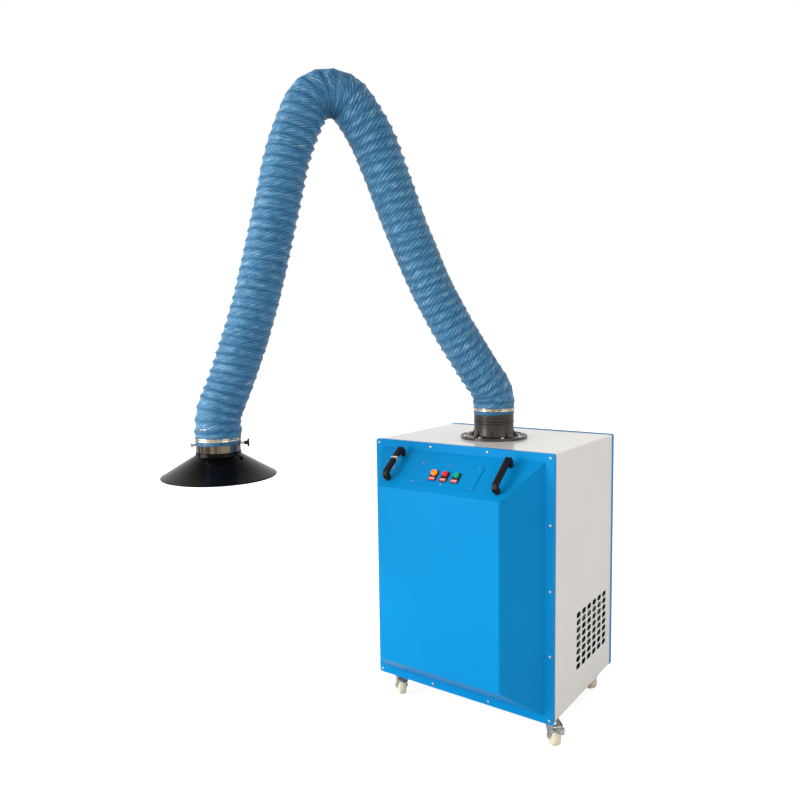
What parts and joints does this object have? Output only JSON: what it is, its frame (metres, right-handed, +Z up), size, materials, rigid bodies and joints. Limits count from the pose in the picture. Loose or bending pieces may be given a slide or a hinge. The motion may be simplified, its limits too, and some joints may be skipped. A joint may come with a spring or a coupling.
{
  "type": "portable welding fume extractor",
  "caption": "Filter cabinet on braked casters with a bevelled front cover, push buttons and a ribbed, jointed extraction arm ending in a conical hood.",
  "frame": {"origin": "on the floor, under the centre of the whole unit's outline", "axes": "+Z up, +X to the right seen from the front, +Y to the back; the front cover faces -Y"},
  "size_m": [1.332, 1.4035, 2.4969],
  "materials": {
    "blue_powder_coat": "satin powder coat",
    "grey_powder_coat": "gloss powder coat",
    "zinc_sheet": "galvanised",
    "bright_screws": "zinc plated",
    "stainless": "bright stainless",
    "black_hood": "gloss black",
    "black_plastic": "moulded",
    "brown_black_plastic": "satin moulded",
    "hose_fabric": "coated fabric over spring wire",
    "arm_aluminium": "satin",
    "caster_zinc": "zinc plated",
    "wheel_nylon": "cream nylon",
    "red_button": "gloss",
    "green_button": "gloss",
    "lamp_lens": "lit lens",
    "legend_face": "bare label",
    "filter_paper": "pleated",
    "fan_aluminium": "cast",
    "motor_iron": "painted"
  },
  "bodies": {
    "cabinet": {"top_panel": "grey_powder_coat", "left_side_panel": "grey_powder_coat", "right_side_panel": "grey_powder_coat", "base_plate": "zinc_sheet", "panel_frames": "zinc_sheet", "front_panel": "blue_powder_coat", "rear_panel": "blue_powder_coat", "panel_screws": "bright_screws", "control_plate": "blue_powder_coat", "button_bezels": "bright_screws", "legend_plates": "legend_face", "indicator_lamp": "lamp_lens", "handle_left": "black_plastic", "handle_right": "black_plastic", "bevel_fasteners": "bright_screws", "base_flange": "brown_black_plastic", "flange_screws": "bright_screws", "caster_plates": "caster_zinc", "caster_bolts": "caster_zinc", "tube_sheet": "zinc_sheet", "filter_cartridge": "filter_paper", "filter_tie_rod": "caster_zinc", "spark_baffle": "zinc_sheet", "dust_tray": "zinc_sheet", "fan_housing": "zinc_sheet", "fan_motor": "motor_iron", "electrical_box": "grey_powder_coat", "cable_gland": "black_plastic"},
    "swivel": {"swivel_sleeve": "brown_black_plastic", "base_clamp": "stainless", "shoulder_pin": "caster_zinc", "hose_base_bend": "hose_fabric"},
    "lower_arm": {"lower_link": "arm_aluminium", "elbow_pin": "caster_zinc", "hose_lower_run": "hose_fabric", "hose_elbow_bend": "hose_fabric"},
    "upper_arm": {"upper_link": "arm_aluminium", "hose_upper_run": "hose_fabric"},
    "hood": {"hood_collar": "stainless", "hood_cone": "black_hood", "hood_clamp": "stainless", "wrist_pin": "caster_zinc", "hose_hood_bend": "hose_fabric"},
    "damper": {"damper_disc": "caster_zinc", "damper_knob": "black_plastic"},
    "stop_button": {"stop_button": "red_button"},
    "start_button": {"start_button": "green_button"},
    "impeller": {"fan_impeller": "fan_aluminium"},
    "caster_front_right": {"caster_fork_front_right": "caster_zinc"},
    "wheel_front_right": {"caster_wheel_front_right": "wheel_nylon"},
    "brake_front_right": {"brake_pedal_front_right": "caster_zinc"},
    "caster_front_left": {"caster_fork_front_left": "caster_zinc"},
    "wheel_front_left": {"caster_wheel_front_left": "wheel_nylon"},
    "brake_front_left": {"brake_pedal_front_left": "caster_zinc"},
    "caster_rear_right": {"caster_fork_rear_right": "caster_zinc"},
    "wheel_rear_right": {"caster_wheel_rear_right": "wheel_nylon"},
    "brake_rear_right": {"brake_pedal_rear_right": "caster_zinc"},
    "caster_rear_left": {"caster_fork_rear_left": "caster_zinc"},
    "wheel_rear_left": {"caster_wheel_rear_left": "wheel_nylon"},
    "brake_rear_left": {"brake_pedal_rear_left": "caster_zinc"}
  },
  "joints": [
    {"name": "arm_swivel", "type": "hinge", "parent": "cabinet", "child": "swivel", "pos_m": [0.23445, 0.36075, 1.158], "axis": [0, 0, 1], "range_deg": [-180, 180]},
    {"name": "shoulder_tilt", "type": "hinge", "parent": "swivel", "child": "lower_arm", "pos_m": [0.23445, 0.36075, 1.27], "axis": [0.7771, -0.6293, 0], "range_deg": [-25, 30], "deforming": ["hose_base_bend"]},
    {"name": "elbow_bend", "type": "hinge", "parent": "lower_arm", "child": "upper_arm", "pos_m": [-0.17777, -0.1483, 2.41047], "axis": [-0.7771, 0.6293, 0], "range_deg": [0, 95], "deforming": ["hose_elbow_bend"]},
    {"name": "hood_tilt", "type": "hinge", "parent": "upper_arm", "child": "hood", "pos_m": [-0.45541, -0.49115, 1.23326], "axis": [0.7771, -0.6293, 0], "range_deg": [-45, 45], "deforming": ["hose_hood_bend"]},
    {"name": "damper_turn", "type": "hinge", "parent": "hood", "child": "damper", "pos_m": [-0.45541, -0.49115, 1.12076], "axis": [-0.6293, -0.7771, 0], "range_deg": [0, 90]},
    {"name": "stop_button_press", "type": "slide", "parent": "cabinet", "child": "stop_button", "axis": [0, 0.6139, -0.7894], "range_m": [0, 0.003], "stiffness_N_per_m": 500, "springref_m": -0.002},
    {"name": "start_button_press", "type": "slide", "parent": "cabinet", "child": "start_button", "axis": [0, 0.6139, -0.7894], "range_m": [0, 0.003], "stiffness_N_per_m": 500, "springref_m": -0.002},
    {"name": "fan_spin", "type": "hinge", "parent": "cabinet", "child": "impeller", "pos_m": [0.23445, 0.37775, 0.27], "axis": [0, 0, 1], "continuous": true},
    {"name": "caster_swivel_front_right", "type": "hinge", "parent": "cabinet", "child": "caster_front_right", "pos_m": [0.58045, 0.15575, 0.0953], "axis": [0, 0, 1], "continuous": true},
    {"name": "wheel_roll_front_right", "type": "hinge", "parent": "caster_front_right", "child": "wheel_front_right", "pos_m": [0.60449, 0.13171, 0.036], "axis": [0.7071, 0.7071, 0], "continuous": true},
    {"name": "brake_press_front_right", "type": "hinge", "parent": "caster_front_right", "child": "brake_front_right", "pos_m": [0.62358, 0.11262, 0.082], "axis": [0.7071, 0.7071, 0], "range_deg": [0, 12]},
    {"name": "caster_swivel_front_left", "type": "hinge", "parent": "cabinet", "child": "caster_front_left", "pos_m": [-0.11155, 0.15575, 0.0953], "axis": [0, 0, 1], "continuous": true},
    {"name": "wheel_roll_front_left", "type": "hinge", "parent": "caster_front_left", "child": "wheel_front_left", "pos_m": [-0.08669, 0.13256, 0.036], "axis": [0.682, 0.7314, 0], "continuous": true},
    {"name": "brake_press_front_left", "type": "hinge", "parent": "caster_front_left", "child": "brake_front_left", "pos_m": [-0.06694, 0.11415, 0.082], "axis": [0.682, 0.7314, 0], "range_deg": [0, 12]},
    {"name": "caster_swivel_rear_right", "type": "hinge", "parent": "cabinet", "child": "caster_rear_right", "pos_m": [0.58045, 0.59975, 0.0953], "axis": [0, 0, 1], "continuous": true},
    {"name": "wheel_roll_rear_right", "type": "hinge", "parent": "caster_rear_right", "child": "wheel_rear_right", "pos_m": [0.5544, 0.6216, 0.036], "axis": [-0.6428, -0.766, 0], "continuous": true},
    {"name": "brake_press_rear_right", "type": "hinge", "parent": "caster_rear_right", "child": "brake_rear_right", "pos_m": [0.53372, 0.63896, 0.082], "axis": [-0.6428, -0.766, 0], "range_deg": [0, 12]},
    {"name": "caster_swivel_rear_left", "type": "hinge", "parent": "cabinet", "child": "caster_rear_left", "pos_m": [-0.11155, 0.59975, 0.0953], "axis": [0, 0, 1], "continuous": true},
    {"name": "wheel_roll_rear_left", "type": "hinge", "parent": "caster_rear_left", "child": "wheel_rear_left", "pos_m": [-0.14157, 0.61571, 0.036], "axis": [-0.4695, -0.8829, 0], "continuous": true},
    {"name": "brake_press_rear_left", "type": "hinge", "parent": "caster_rear_left", "child": "brake_rear_left", "pos_m": [-0.16541, 0.62839, 0.082], "axis": [-0.4695, -0.8829, 0], "range_deg": [0, 12]}
  ]
}
